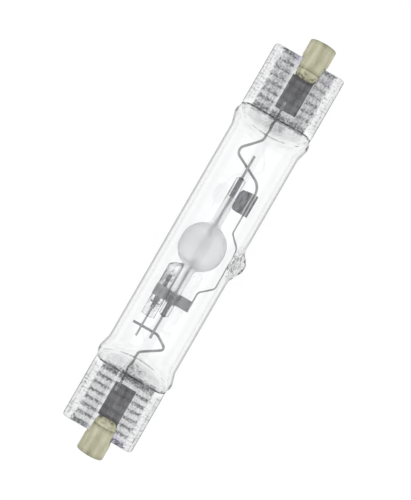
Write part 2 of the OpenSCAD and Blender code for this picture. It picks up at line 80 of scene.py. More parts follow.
# The hollow, whose wall grows thin toward the shoulders' corners
HOLLOW_END = 42.35
THIN_WALL = 0.55
THIN_START = 38.5
THIN_FULL = 41.0
SLOPE_WALL = 0.9

# The melted tip, a round end on a cone, with the place where the one meets the other
TIP_X = 0.8
TIP_REACH = 13.25
TIP_ROUND = 3.0
TIP_MEET = 1.74
CONE_REACH = 12.72
CONE_FALL = 0.72
TIP_WALL = 0.95
CONE_WALL = 1.17
TIP_MEET_INSIDE = 1.19

# Foils, wires and leads
FOIL_X = 45.4
FOIL_T = 0.05
FOIL_Y = -0.7
WELD_L = 2.7
FRAME_WIRE = 0.75
STARTING_WIRE = 0.5
UPPER_LEAD_Y = 0.45
LOWER_LEAD_Y = 1.29
WIRE_Z = (FOIL_T + FRAME_WIRE) / 2
NIOBIUM = 0.75
ARC_Y = 0.4
ARC_Z = WIRE_Z + (FRAME_WIRE + NIOBIUM) / 2

bulb_low, bulb_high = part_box("outer_bulb")
LAMP_ORIGIN = np.array([0.0, bulb_high.y - SHOULDER_R * MM, (bulb_low.z + bulb_high.z) / 2])


def place(points):
    """Points of the lamp's own frame, in millimetres, as places in the scene."""
    return np.asarray(points, float) * MM + LAMP_ORIGIN


def own_points(obj):
    """A piece's points in the lamp's own frame."""
    return (np.array([v.co for v in obj.data.vertices]) - LAMP_ORIGIN) / MM


def smooth_step(low, high, value):
    share = np.clip((value - low) / (high - low), 0, 1)
    return share * share * (3 - 2 * share)


def stretch_of(value, start, full, fade, end):
    """1 on a stretch of the values, with a soft start and a soft end."""
    return smooth_step(start, full, value) * (1 - smooth_step(fade, end, value))


def bell(value, middle, width):
    return np.exp(-((value - middle) / width) ** 2)


def soft_above(value, floor, ease):
    """The value where it is well above the floor, else the floor, with a rounded change."""
    return floor + ease * np.logaddexp(0, (value - floor) / ease)


def blend_max(a, b, power):
    return (np.maximum(a, 0) ** power + np.maximum(b, 0) ** power) ** (1 / power)


def blend_min(a, b, power=8):
    """The lower of two heights, with the change between them well rounded."""
    a, b = np.maximum(a, 1e-3), np.maximum(b, 1e-3)
    scale = np.minimum(a, b)
    return scale * ((scale / a) ** power + (scale / b) ** power) ** (-1 / power)


def crease_min(a, b, ease=0.26):
    """The lower of two heights, with the crease between them slightly eased."""
    return -ease * np.logaddexp(-a / ease, -b / ease)


def uneven(x, y, z, size, seed):
    """Smooth noise from -1 to 1 at each place, with lumps of about the given size."""
    shift = 37.0 * seed
    flat = [noise.noise((a / size + shift, b / size - shift, c / size + shift))
            for a, b, c in zip(x.ravel(), y.ravel(), z.ravel())]
    return np.array(flat).reshape(x.shape)


def add_object(name, data):
    obj = bpy.data.objects.new(name, data)
    bpy.context.scene.collection.objects.link(obj)
    return obj


def finish_piece(obj, node):
    """A visible piece that rides on the lamp in place of a CAD node."""
    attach(obj, "root")
    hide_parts(node)


def mesh_piece(name, points, faces, material, smooth=True):
    """A mesh from places in the lamp's own frame."""
    mesh = bpy.data.meshes.new(name)
    mesh.from_pydata(place(points).tolist(), [], faces)
    mesh.materials.append(material)
    if smooth:
        mesh.shade_smooth()
    mesh.update()
    return add_object(name, mesh)


def ring_quads(rings, sides):
    """Quads between rings of points that follow each other."""
    return [[i * sides + j, i * sides + (j + 1) % sides, (i + 1) * sides + (j + 1) % sides,
             (i + 1) * sides + j] for i in range(rings - 1) for j in range(sides)]


def turned_over(faces):
    return [list(reversed(face)) for face in faces]


def join_meshes(parts):
    """One list of points and one of faces from several."""
    points, faces = [], []
    for part_points, part_faces in parts:
        shift = len(points)
        points.extend(part_points)
        faces.extend([[i + shift for i in face] for face in part_faces])
    return points, faces


# Materials

def add_node(tree, kind, inputs=None, **settings):
    """A node with its settings and the given values of its inputs."""
    node = tree.nodes.new(kind)
    row, column = divmod(len(tree.nodes), 6)
    node.location = (220 * column, -260 * row)
    for name, value in settings.items():
        setattr(node, name, value)
    for name, value in (inputs or {}).items():
        node.inputs[name].default_value = value
    return node


def connect(tree, *links):
    """Links nodes, each link given as a node, its output, the next node and its input."""
    for source, out, target, into in links:
        tree.links.new(source.outputs[out], target.inputs[into])


def new_group(name, kind, inputs, outputs):
    """A node group with named sockets of given kinds, and its input and output nodes."""
    group = bpy.data.node_groups.new(name, kind)
    for in_out, sockets in (("INPUT", inputs), ("OUTPUT", outputs)):
        for label, socket in sockets.items():
            group.interface.new_socket(label, in_out=in_out, socket_type="NodeSocket" + socket)
    return group, group.nodes.new("NodeGroupInput"), group.nodes.new("NodeGroupOutput")


def stretched_place(group, given):
    """The place on the object, drawn out along its axes by the group's stretch."""
    where = add_node(group, "ShaderNodeTexCoord")
    stretch = add_node(group, "ShaderNodeVectorMath", operation="MULTIPLY")
    connect(group, (where, "Object", stretch, 0), (given, "Stretch", stretch, 1))
    return stretch


def make_mottling():
    """Cloudy and speckled changes of a colour, as on fired ceramic and oxidised metal."""
    group, given, result = new_group(
        "mottling", "ShaderNodeTree",
        {"Colour": "Color", "Second Colour": "Color", "Cloud Scale": "Float",
         "Speck Scale": "Float", "Stretch": "Vector"}, {"Colour": "Color", "Mask": "Float"})
    stretch = stretched_place(group, given)
    cloud = add_node(group, "ShaderNodeTexNoise", {"Detail": 4})
    speck = add_node(group, "ShaderNodeTexNoise", {"Detail": 2})
    both = add_node(group, "ShaderNodeMath", {1: 0.35}, operation="MULTIPLY_ADD")
    spread = add_node(group, "ShaderNodeMapRange", {"From Min": 0.5, "From Max": 0.86})
    mix = add_node(group, "ShaderNodeMix", data_type="RGBA")
    connect(group, (stretch, 0, cloud, "Vector"), (given, "Cloud Scale", cloud, "Scale"),
            (stretch, 0, speck, "Vector"), (given, "Speck Scale", speck, "Scale"),
            (speck, 0, both, 0), (cloud, 0, both, 2), (both, 0, spread, "Value"),
            (spread, 0, mix, "Factor"), (given, "Colour", mix, 6),
            (given, "Second Colour", mix, 7), (mix, 2, result, "Colour"),
            (spread, 0, result, "Mask"))
    return group


def make_grain():
    """Height of a fine surface grain, drawn out along an axis by its stretch."""
    group, given, result = new_group("surface_grain", "ShaderNodeTree",
                                     {"Scale": "Float", "Stretch": "Vector"}, {"Height": "Float"})
    stretch = stretched_place(group, given)
    grain = add_node(group, "ShaderNodeTexNoise", {"Detail": 3})
    connect(group, (stretch, 0, grain, "Vector"), (given, "Scale", grain, "Scale"),
            (grain, 0, result, "Height"))
    return group


MOTTLING = make_mottling()
GRAIN = make_grain()
GRAIN_SCALE = 3000
GLOSS_SPREAD = 0.12
QUARTZ_IOR = 1.458
# Real alumina bends light more. The low value shows what lies in the bore at its true width.
CERAMIC_IOR = 1.25


def rgb(r, g, b):
    return (r, g, b, 1.0)


def new_material(name, inputs):
    """A material whose shader has the given values, with its node tree, shader and output."""
    material = bpy.data.materials.new(name)
    material.use_nodes = True
    tree = material.node_tree
    shader = tree.nodes["Principled BSDF"]
    for label, value in inputs.items():
        shader.inputs[label].default_value = value
    return material, tree, shader, tree.nodes["Material Output"]


def mottled(tree, colour, second, clouds, specks, stretch=(1, 1, 1)):
    return add_node(tree, "ShaderNodeGroup",
                    {"Colour": rgb(*colour), "Second Colour": rgb(*second),
                     "Cloud Scale": clouds, "Speck Scale": specks, "Stretch": stretch},
                    node_tree=MOTTLING)


def attribute(tree, name):
    return add_node(tree, "ShaderNodeAttribute", attribute_name=name).outputs["Fac"]


def remapped(tree, value, inputs, **settings):
    """An output with a value brought from one range to another."""
    spread = add_node(tree, "ShaderNodeMapRange", inputs, **settings)
    tree.links.new(value, spread.inputs["Value"])
    return spread.outputs[0]


def edge_share(tree, start, full):
    """1 where the surface is seen at a glance and 0 where it is seen squarely."""
    edge = add_node(tree, "ShaderNodeLayerWeight", {"Blend": 0.5})
    return remapped(tree, edge.outputs["Facing"], {"From Min": start, "From Max": full},
                    interpolation_type="SMOOTHSTEP")


def product(tree, first, second):
    """The product of two outputs, kept between 0 and 1."""
    node = add_node(tree, "ShaderNodeMath", operation="MULTIPLY", use_clamp=True)
    tree.links.new(first, node.inputs[0])
    tree.links.new(second, node.inputs[1])
    return node.outputs[0]


def tinted(tree, colour, share, tint, blend_type="MULTIPLY"):
    """A colour from an output or a plain one, tinted by the share that an output gives."""
    mix = add_node(tree, "ShaderNodeMix", {7: rgb(*tint)}, data_type="RGBA",
                   blend_type=blend_type)
    tree.links.new(share, mix.inputs["Factor"])
    if isinstance(colour, tuple):
        mix.inputs[6].default_value = rgb(*colour)
    else:
        tree.links.new(colour, mix.inputs[6])
    return mix.outputs[2]


def add_grain(tree, shader, scale, stretch, strength, depth):
    """A fine relief on the surface."""
    fine = add_node(tree, "ShaderNodeGroup", {"Scale": scale, "Stretch": stretch},
                    node_tree=GRAIN)
    relief = add_node(tree, "ShaderNodeBump", {"Strength": strength, "Distance": depth * MM})
    connect(tree, (fine, "Height", relief, "Height"), (relief, "Normal", shader, "Normal"))


def finished_surface(name, colour, second, roughness, clouds, specks, bump, metallic=0.0,
                     stretch=(1, 1, 1), dirt_and_painted_light=None):
    """An opaque material with mottled colour, uneven gloss and a fine grain. A second colour,
    for dirt, painted shade and painted highlights, shows where the piece's point attribute of that
    name is high."""
    material, tree, shader, _ = new_material(name, {"Metallic": metallic})
    mottle = mottled(tree, colour, second, clouds, specks, stretch)
    seen = mottle.outputs["Colour"]
    # Dirt and painted light, where the piece's point attribute asks for them.
    if dirt_and_painted_light:
        seen = tinted(tree, seen, attribute(tree, "dirt_and_painted_light"), dirt_and_painted_light, "MIX")
    tree.links.new(seen, shader.inputs["Base Color"])
    gloss = remapped(tree, mottle.outputs["Mask"],
                     {"To Min": roughness, "To Max": min(1.0, roughness + GLOSS_SPREAD)})
    tree.links.new(gloss, shader.inputs["Roughness"])
    add_grain(tree, shader, GRAIN_SCALE, stretch, bump, 0.05)
    return material


def clear_quartz(name, edge_start, edge_full):
    """Clear glass with painted shade: darker where it is seen at a glance, and with grey patches
    and lines painted on the pinches and along the tube. It has a faint violet tint and lets the
    lamps' light through."""
    material, tree, shader, output = new_material(
        name, {"Roughness": 0.0, "IOR": QUARTZ_IOR, "Transmission Weight": 1.0})
    # Painted edge shade: grey where the glass is seen at a glance, scaled by the piece's outline
    # attribute.
    drawn = product(tree, edge_share(tree, edge_start, edge_full), attribute(tree, "outline"))
    seen = tinted(tree, (0.99, 0.993, 0.995), drawn, (0.11, 0.113, 0.12), "MIX")
    # Painted shade on the pinches and along the tube, with a fine speckle.
    where = add_node(tree, "ShaderNodeTexCoord")
    speck = add_node(tree, "ShaderNodeTexNoise", {"Scale": 1500, "Detail": 2})
    connect(tree, (where, "Object", speck, "Vector"))
    spread = remapped(tree, speck.outputs[0],
                      {"From Min": 0.32, "From Max": 0.66, "To Min": 0.45, "To Max": 1.3})
    specked = product(tree, spread, attribute(tree, "pressed"))
    seen = tinted(tree, seen, specked, (0.1, 0.103, 0.112))
    seen = tinted(tree, seen, attribute(tree, "violet"), (0.85, 0.82, 0.97))
    tree.links.new(seen, shader.inputs["Base Color"])
    passed = add_node(tree, "ShaderNodeBsdfTransparent", {"Color": rgb(0.97, 0.975, 0.98)})
    rays = add_node(tree, "ShaderNodeLightPath")
    mix = add_node(tree, "ShaderNodeMixShader")
    connect(tree, (rays, "Is Shadow Ray", mix, 0), (shader, 0, mix, 1), (passed, 0, mix, 2),
            (mix, 0, output, "Surface"))
    return material


def frosted_alumina():
    """Translucent ceramic: frosted on the ball, clearer along the thin capillaries, with painted
    shade in a soft dark core and at the rim.
    """
    material, tree, shader, _ = new_material(
        "frosted_alumina", {"IOR": CERAMIC_IOR, "Transmission Weight": 0.92})
    mottle = mottled(tree, (0.995, 0.996, 0.998), (0.98, 0.982, 0.986), 220, 6000)
    # Painted shade, darker where the electrodes and the solder glass lie inside.
    seen = tinted(tree, mottle.outputs["Colour"], attribute(tree, "painted_core_shade"), (0.84, 0.846, 0.858))
    # Painted shade at the rim, where the ceramic is seen at a glance.
    seen = tinted(tree, seen, edge_share(tree, 0.55, 0.9), (0.8, 0.81, 0.83))
    tree.links.new(seen, shader.inputs["Base Color"])
    gloss = remapped(tree, attribute(tree, "frosted"), {"To Min": 0.06, "To Max": 0.8})
    tree.links.new(gloss, shader.inputs["Roughness"])
    add_grain(tree, shader, 5000, (1, 1, 1), 0.1, 0.03)
    return material


# Both glasses carry painted edge shade; the capsule's reaches further in from its edge.
QUARTZ = clear_quartz("clear_quartz", 0.54, 0.8)
CAPSULE_QUARTZ = clear_quartz("capsule_quartz", 0.2, 0.52)
ALUMINA = frosted_alumina()
# The cap's dark second colour serves both its dirt and its painted shade.
CAP_CERAMIC = finished_surface("cap_steatite", (0.62, 0.607, 0.43), (0.42, 0.41, 0.275), 0.45,
                               560, 7000, 0.25, stretch=(0.22, 1, 1), dirt_and_painted_light=(0.17, 0.165, 0.1))
CEMENT = finished_surface("cap_cement", (0.66, 0.64, 0.46), (0.5, 0.48, 0.32), 0.8,
                          900, 6000, 0.6)
CONTACT = finished_surface("contact_nickel", (0.6, 0.59, 0.56), (0.42, 0.41, 0.39), 0.28,
                           700, 9000, 0.2, metallic=1.0)
FOIL = finished_surface("molybdenum_foil", (0.29, 0.29, 0.297), (0.14, 0.14, 0.147), 0.42,
                        640, 3500, 0.3, metallic=0.6, stretch=(0.22, 1, 1))
WIRE = finished_surface("drawn_molybdenum", (0.36, 0.36, 0.365), (0.26, 0.26, 0.265), 0.38,
                        600, 9000, 0.15, metallic=0.75, stretch=(0.5, 1, 1))
TUNGSTEN = finished_surface("tungsten_rod", (0.22, 0.22, 0.225), (0.12, 0.12, 0.125), 0.42,
                            900, 9000, 0.2, metallic=0.75)
FRIT = finished_surface("solder_glass", (0.03, 0.03, 0.033), (0.06, 0.06, 0.064), 0.18,
                        900, 6000, 0.2)
GETTER_CUP = finished_surface("getter_cup_steel", (0.25, 0.265, 0.285), (0.16, 0.17, 0.182), 0.45,
                              500, 7000, 0.2, metallic=0.5)
# The strip's pale second colour paints highlights along its grooves.
GETTER_STEEL = finished_surface("getter_steel", (0.15, 0.156, 0.165), (0.085, 0.09, 0.095), 0.4,
                                600, 7000, 0.2, metallic=0.6, dirt_and_painted_light=(0.62, 0.625, 0.64))
GETTER_FILL = finished_surface("getter_powder", (0.17, 0.185, 0.205), (0.28, 0.3, 0.33), 0.75,
                               900, 8000, 0.8)
BAND = finished_surface("band_strip", (0.31, 0.31, 0.315), (0.17, 0.17, 0.175), 0.4,
                        500, 6000, 0.2, metallic=0.6)


# The bulb

RING = 192
ROUND = np.arange(RING) * 2 * np.pi / RING


def blown_radius(x, inset=0.0):
    """Radius of the blown body at a distance from the middle, set in by a wall."""
    back = SHOULDER_ROUND - inset
    middle_r = SHOULDER_R - SHOULDER_ROUND
    slope = math.atan2(middle_r - TUBE_R + inset, SHOULDER_X - SHOULDER_FOOT)
    slope += math.asin(back / math.hypot(SHOULDER_X - SHOULDER_FOOT, middle_r - TUBE_R + inset))
    rise = soft_above(np.tan(slope) * (x - SHOULDER_FOOT), 0.0, 0.06)
    line = TUBE_R - inset + rise
    touch = SHOULDER_X - back * math.sin(slope)
    arc = middle_r + np.sqrt(np.maximum(back ** 2 - (x - SHOULDER_X) ** 2, 0))
    gone = x >= SHOULDER_X + back
    return np.where(gone, 0.0, np.where(x < touch, line, arc))


def slab_height(x, inset=0.0):
    """Height at which the slope from tube to pinch cuts the body, set in by a wall."""
    along = inset * math.sqrt(1 + 1 / SLOPE_FALL ** 2)
    fall = TUBE_R + SLOPE_FALL * (SLOPE_X - along - x)
    return fall if inset else soft_above(fall, ROOT_Z, 0.35)


def pinch_half_width(x):
    """Half the width of the glass where it is pinched, rounded at the end's corners."""
    into = np.clip(x - (GLASS_END - CORNER), 0, CORNER)
    notch = NOTCH * bell(x, NOTCH_X, 0.45)
    return PINCH_HALF - CORNER + np.sqrt(CORNER ** 2 - into ** 2 * 0.985) - notch


def rib_height(x, y):
    """Height of the ribs over the web: bars across the pinch with round ends."""
    over = np.maximum(np.abs(y) - RIB_REACH, 0)
    height = np.zeros_like(x * y)
    for i in range(RIB_COUNT):
        reach = (x - RIB_X - i * RIB_PITCH) ** 2 + over ** 2
        top = np.sqrt(np.maximum(RIB_ROUND ** 2 - reach, 0)) + RIB_H - RIB_ROUND
        height = np.maximum(height, top)
    return height


def pinch_height(x, y, half):
    """Half thickness of a pinch: a round bead along each side and a ribbed web between."""
    off = np.abs(y) - (half - BEAD_R)
    bead = np.sqrt(np.maximum(BEAD_R ** 2 - off ** 2, 0))
    web = np.where(off < 0, WEB + rib_height(x, y), 0)
    edge = np.where(off < 0, smooth_step(0, 0.2, -off), 0)
    return blend_max(bead, web * edge, 10)


def outer_half_width(x):
    pinched = np.where(x > PINCH_START, pinch_half_width(x), 0)
    return np.maximum(blown_radius(x), pinched)


def round_height(radius, y):
    return np.sqrt(np.maximum(radius ** 2 - y ** 2, 0))


def outer_height(x, y):
    blown_r = blown_radius(x)
    round_part = round_height(blown_r, y)
    body = np.where(blown_r > 0, crease_min(round_part, slab_height(x)), 0)
    body = np.where(round_part < 1e-6, 0, body)
    # The slope's foot runs on into the pinch, past the end of the blown body.
    foot = (x > SHOULDER_X) & (x < 43.4) & (np.abs(y) < SHOULDER_R - SHOULDER_ROUND)
    body = np.where(foot, np.maximum(body, slab_height(x)), body)
    pinch = pinch_height(x, y, outer_half_width(x)) * smooth_step(40.4, PINCH_FULL, x)
    rounding = np.clip((x - GLASS_END + 0.7) / 0.75, 0, 1)
    return blend_max(body, pinch, 10) * np.sqrt(np.maximum(1 - rounding ** 2, 0))


def stations(marks):
    """Places along the bulb, from pairs of an end and the step up to it."""
    places = [0.0]
    for end, step in marks:
        start = places[-1]
        count = max(1, round((end - start) / step))
        places += [start + (end - start) * (i + 1) / count for i in range(count)]
    return np.array([-p for p in reversed(places[1:])] + places)


def tip_reach(across, inner):
    """How far the tip, or the hollow in it, stands from the axis at a distance from its own
    middle."""
    inset, cone_inset, meet = (TIP_WALL, CONE_WALL, TIP_MEET_INSIDE) if inner else (0, 0, TIP_MEET)
    dome = TIP_REACH - TIP_ROUND + round_height(TIP_ROUND - inset, across)
    cone = CONE_REACH - (across - TIP_MEET) * CONE_FALL - cone_inset
    return np.where(across < meet, dome, cone)


def with_tip(x, y, z, inner=False):
    """Moves the side of the tube out to the melted tip."""
    near = (y < 0) & (np.abs(x - TIP_X) < 7) & (np.abs(z) < 6.5)
    # The flank toward the lower end runs out flatter than the other.
    along = (x - TIP_X) * np.where(x < TIP_X, 0.78, 1.12)
    across = np.hypot(along, z * (1.3 if inner else 1.15))
    reach = tip_reach(across, inner)
    if not inner:
        lump = uneven(x, y, z, 1.1, 3) * 0.28 + uneven(x, y, z, 0.55, 4) * 0.12
        reach = reach + np.where(near, lump, 0) * smooth_step(5.6, 3.6, across)
        reach = np.minimum(reach, TIP_REACH)
    out = blend_max(-y, np.where(near, reach, 0), 40)
    return np.where(near, -np.where(reach > -y, reach, np.minimum(out, TIP_REACH)), y)


def loft(places, half, height):
    """Rings of points from the half width and half height along the bulb."""
    x = np.repeat(places[:, None], RING, axis=1)
    distance = np.abs(x)
    y = half(distance) * np.cos(ROUND)[None, :]
    side = np.sign(np.sin(ROUND))
    side[0] = side[RING // 2] = 0
    return x, y, height(distance, y) * side[None, :]


def loft_faces(rings, inward=False):
    """Quads between rings, and quads that close the two ends across their width."""
    faces = ring_quads(rings, RING)
    last = (rings - 1) * RING
    for j in range(RING // 2):
        corners = [j + 1, j, (RING - j) % RING, RING - j - 1]
        closing = list(dict.fromkeys(corners))
        faces.append(closing)
        faces.append([last + i for i in reversed(closing)])
    return turned_over(faces) if inward else faces


def outer_skin():
    places = stations([(7.0, 0.35), (34.6, 1.4), (36.8, 0.2), (41.0, 0.3), (44.0, 0.2),
                       (GLASS_END, 0.2)])
    x, y, z = loft(places, outer_half_width, outer_height)
    distance = np.abs(x)
    pinched = smooth_step(43.0, 44.5, distance)
    shoulder = stretch_of(distance, 35.5, 37.5, 42.5, 44.0)
    lump = uneven(x, y, z, 2.6, 1) * (0.02 + 0.05 * shoulder + 0.05 * pinched)
    lump += uneven(x, y, z, 0.8, 2) * (0.05 * pinched + 0.03 * shoulder)
    inside = 1 - smooth_step(8.0, 10.6, np.abs(y))
    z = z + np.sign(z) * lump * inside
    return x, with_tip(x, y, z), z


def inner_half_width(x):
    thin = blown_radius(np.minimum(x, 42.05), THIN_WALL)
    thick = blown_radius(np.minimum(x, THIN_FULL), WALL)
    return thick + (thin - thick) * smooth_step(THIN_START, THIN_FULL, x)


def inner_height(x, y):
    """The hollow follows the outer crease where the wall is even, and then runs out round."""
    round_part = round_height(inner_half_width(x), y)
    cut = np.maximum(slab_height(x, SLOPE_WALL), 0.0)
    creased = np.maximum(crease_min(round_part, cut), 0.0)
    rounded = blend_min(round_part, cut)
    height = creased + (rounded - creased) * smooth_step(37.6, 40.2, x)
    return np.where(round_part < 1e-6, 0, height)


def inner_skin():
    places = stations([(5.0, 0.35), (33.6, 1.9), (HOLLOW_END, 0.25)])
    x, y, z = loft(places, inner_half_width, inner_height)
    # Each end of the hollow is uneven, and alike above and below the flat of the pinch.
    end = np.sign(x)
    wander = 0.35 * uneven(end * 5, y, z * 0, 2.3, 11) + 0.15 * uneven(end * 5, y, z * 0, 0.9, 12)
    x = x - end * (0.3 + wander) * smooth_step(37.0, 41.5, np.abs(x))
    return x, with_tip(x, y, z, inner=True), z


CHANNEL_R = 0.47
CHANNEL_SIDES = 24
CHANNEL_STEPS = 26


def channel(end, lead_y):
    """The fine hollow that glass leaves round a lead pinched into it, open to nothing."""
    start, stop = HOLLOW_END + 0.05, FOIL_X + WELD_L + 0.15
    points = []
    for i in range(CHANNEL_STEPS + 1):
        share = i / CHANNEL_STEPS
        at = start + (stop - start) * share
        size = CHANNEL_R * (1 + 0.12 * math.sin(9 * share) + 0.1 * math.sin(31 * share))
        if i in (0, CHANNEL_STEPS):
            size *= 0.7
        for j in range(CHANNEL_SIDES):
            a = 2 * math.pi * j / CHANNEL_SIDES
            points.append([end * at, lead_y + size * math.cos(a), WIRE_Z + size * math.sin(a)])
    faces = ring_quads(CHANNEL_STEPS + 1, CHANNEL_SIDES)
    faces.append(list(reversed(range(CHANNEL_SIDES))))
    faces.append([CHANNEL_STEPS * CHANNEL_SIDES + j for j in range(CHANNEL_SIDES)])
    # The hollow's faces look into the hollow, as the bulb's inner skin does.
    return points, turned_over(faces) if end > 0 else faces


def set_attribute(obj, name, values):
    layer = obj.data.attributes.new(name, "FLOAT", "POINT")
    layer.data.foreach_set("value", np.asarray(values, np.float32))


# Each pinch's shade on its flats, and what its ribs add to it
LOWER_SHADE, LOWER_RIBS = 0.36, 1.0
UPPER_SHADE, UPPER_RIBS = 0.52, 0.5
# Shade of the faint bands along the tube, and of the whole tube
BAND_SHADE, TUBE_SHADE = 0.05, 0.036


def patches(x, y, z, size, seed, low, high):
    """Uneven patches from 0 to 1, the fewer the higher the bounds."""
    return smooth_step(low, high, uneven(x, y, z, size, seed))


def web_shade(x, y, z):
    """Shade of the ribbed web, paler beside and over the foil, with a line along each bead."""
    distance = np.abs(x)
    valley = 1 - rib_height(distance, y) / RIB_H
    drift = uneven(x, y, z, 2.2, 7)
    zone = smooth_step(41.7, 42.3, distance + 0.5 * drift)
    zone = zone * (1 - smooth_step(-0.25, 0.3, np.abs(y) - 7.9 - 0.6 * valley - 0.3 * drift))
    rough = 0.6 * np.clip(0.55 + 0.9 * uneven(x, y, z, 0.75, 5), 0, 1)
    rough = rough + 0.4 * np.clip(0.5 + uneven(x, y, z, 1.9, 8), 0, 1)
    flank = smooth_step(0.25, 0.8, np.abs(np.gradient(np.abs(z), x[:, 0], axis=0)))
    ridged = (1.05 * smooth_step(0.2, 0.8, valley) + 0.45 * flank) * rough
    shade = np.where(x < 0, LOWER_SHADE + LOWER_RIBS * ridged, UPPER_SHADE + UPPER_RIBS * ridged)
    pale = smooth_step(2.5, 2.8, y) * (1 - smooth_step(3.3, 3.7, y + 0.3 * drift))
    over_foil = smooth_step(3.6, 3.3, np.abs(y - FOIL_Y)) * smooth_step(45.2, 45.6, distance)
    shade = zone * shade * (1 - 0.5 * pale) * (1 - 0.6 * over_foil)
    line = bell(np.abs(y), 10.25, 0.16) * smooth_step(42.5, 44.0, distance)
    return shade + 0.7 * line * (0.7 + 0.4 * drift)


def edge_shade(x, y, z):
    """Shade of the pinch's rim and beads."""
    distance = np.abs(x)
    rim = smooth_step(11.0, 11.25, np.abs(y)) * smooth_step(41.5, 42.5, distance)
    end_rim = smooth_step(GLASS_END - 0.45, GLASS_END - 0.2, distance) * (np.abs(y) > 8.4)
    bead = smooth_step(8.3, 8.8, np.abs(y)) * smooth_step(43.0, 45.0, distance)
    return 0.9 * rim + 0.7 * end_rim + bead * (0.1 + 0.5 * patches(x, y, z, 0.6, 14, 0.0, 0.6))


def shoulder_shade(x, y, z):
    """Shade of the patch where the pinch begins, of the strokes at the shoulder's sides and of
    the crease."""
    distance = np.abs(x)
    wedge = smooth_step(0.0, 0.8, 4.2 - np.abs(y + 0.2) - 1.1 * np.abs(distance - 41.0))
    shade = 0.75 * wedge * patches(x, y, z, 0.65, 15, -0.1, 0.5)
    strokes = stretch_of(distance, 33.5, 36.0, 39.5, 41.0) * smooth_step(8.8, 10.8, np.abs(y))
    shade = shade + 0.45 * strokes * patches(x * 0.35, y, z, 0.9, 16, 0.1, 0.5)
    foot = round_height(blown_radius(distance), y)
    crease = bell(slab_height(distance), foot, 0.3) * (np.abs(y) < 11)
    return shade + 0.1 * crease * patches(x, y, z, 3.1, 18, -0.3, 0.4)


def outer_paint(x, y, z, tip):
    """Painted shade, violet tint and the share of painted edge shade of the outer skin at each
    point.
    """
    distance = np.abs(x)
    bands = bell(y, 5.2, 1.6) + 0.7 * bell(y, -4.4, 1.3)
    shade = web_shade(x, y, z) + edge_shade(x, y, z) + shoulder_shade(x, y, z)
    shade = shade + tip * (0.24 + 0.5 * patches(x, y, z, 0.85, 9, 0.2, 0.5))
    shade = shade + BAND_SHADE * bands + TUBE_SHADE
    violet = patches(x, y, z, 4.5, 6, 0.1, 0.5) * smooth_step(53, 58, distance)
    corner = stretch_of(distance, 39.6, 40.6, 42.6, 43.4)
    return np.clip(shade, 0, 1), violet * (np.abs(y) < 9.3), (1 - 0.85 * tip) * (1 - 0.25 * corner)


def bulb_glass():
    """The quartz bulb: outer skin, inner skin and the hollows round both frame leads."""
    parts, paints = [], []
    for skin, inward in ((outer_skin, False), (inner_skin, True)):
        x, y, z = skin()
        points = np.stack([x, y, z], axis=-1).reshape(-1, 3)
        parts.append((points.tolist(), loft_faces(x.shape[0], inward)))
        tip = smooth_step(6.5, 4.5, np.hypot((x - TIP_X) * 0.85, z)) * (y < -8)
        plain = np.zeros(x.shape)
        # The inner skin has no painted shade and a weaker painted edge shade, weakest at the tip.
        paint = (plain, plain, 0.35 - 0.3 * tip) if inward else outer_paint(x, y, z, tip)
        paints.append([values.ravel() for values in paint])
    for end, lead_y in ((1, UPPER_LEAD_Y), (-1, LOWER_LEAD_Y)):
        parts.append(channel(end, lead_y))
        plain = np.zeros(len(parts[-1][0]))
        paints.append([plain, plain, plain + 0.6])
    obj = mesh_piece("bulb_glass", *join_meshes(parts), QUARTZ)
    # Point attributes of painted shade, violet tint and painted edge shade.
    for name, values in zip(("pressed", "violet", "outline"), zip(*paints)):
        set_attribute(obj, name, np.concatenate(values))
    finish_piece(obj, "outer_bulb")


# Wires

def turned(a, angle):
    c, s = math.cos(angle), math.sin(angle)
    return (a[0] * c - a[1] * s, a[0] * s + a[1] * c)


def wire_path(corners, bends, z, step=math.radians(4)):
    """Points along a wire that lies flat at a height: straights joined by arcs."""
    points = [Vector(corners[0])]
    for i in range(1, len(corners) - 1):
        corner = Vector(corners[i])
        before = (corner - Vector(corners[i - 1])).normalized()
        after = (Vector(corners[i + 1]) - corner).normalized()
        angle = math.atan2(before[0] * after[1] - before[1] * after[0], before.dot(after))
        radius = bends[i - 1]
        start = corner - before * radius * math.tan(abs(angle) / 2)
        side = math.copysign(1, angle)
        centre = start + Vector(turned(before, math.pi / 2)) * radius * side
        count = max(2, math.ceil(abs(angle) / step))
        for k in range(count + 1):
            points.append(centre + Vector(turned(start - centre, angle * k / count)))
    points.append(Vector(corners[-1]))
    return [(p[0], p[1], z) for p in points]


def make_wire_tree():
    """Geometry nodes that draw a round wire along a curve."""
    tree, given, result = new_group(
        "round_wire", "GeometryNodeTree",
        {"Path": "Geometry", "Diameter": "Float", "Sides": "Int", "Finish": "Material"},
        {"Wire": "Geometry"})
    half = add_node(tree, "ShaderNodeMath", {1: 2}, operation="DIVIDE")
    section = add_node(tree, "GeometryNodeCurvePrimitiveCircle")
    sweep = add_node(tree, "GeometryNodeCurveToMesh", {"Fill Caps": True})
    smooth = add_node(tree, "GeometryNodeSetShadeSmooth")
    real = add_node(tree, "GeometryNodeRealizeInstances")
    finish = add_node(tree, "GeometryNodeSetMaterial")
    connect(tree, (given, "Diameter", half, 0), (half, 0, section, "Radius"),
            (given, "Sides", section, "Resolution"), (given, "Path", sweep, "Curve"),
            (section, 0, sweep, "Profile Curve"), (sweep, 0, smooth, "Geometry"),
            (smooth, 0, real, "Geometry"), (real, 0, finish, "Geometry"),
            (given, "Finish", finish, "Material"), (finish, 0, result, "Wire"))
    return tree


WIRE_TREE = make_wire_tree()
WIRE_SIDES = 20
# Length over which a wire's cut end narrows
WIRE_EASE = 0.06


def set_inputs(modifier, tree, values):
    """Sets a geometry nodes modifier's inputs by the identifiers of its named sockets."""
    for socket in tree.interface.items_tree:
        if socket.item_type == "SOCKET" and socket.in_out == "INPUT" and socket.name in values:
            modifier[socket.identifier] = values[socket.name]


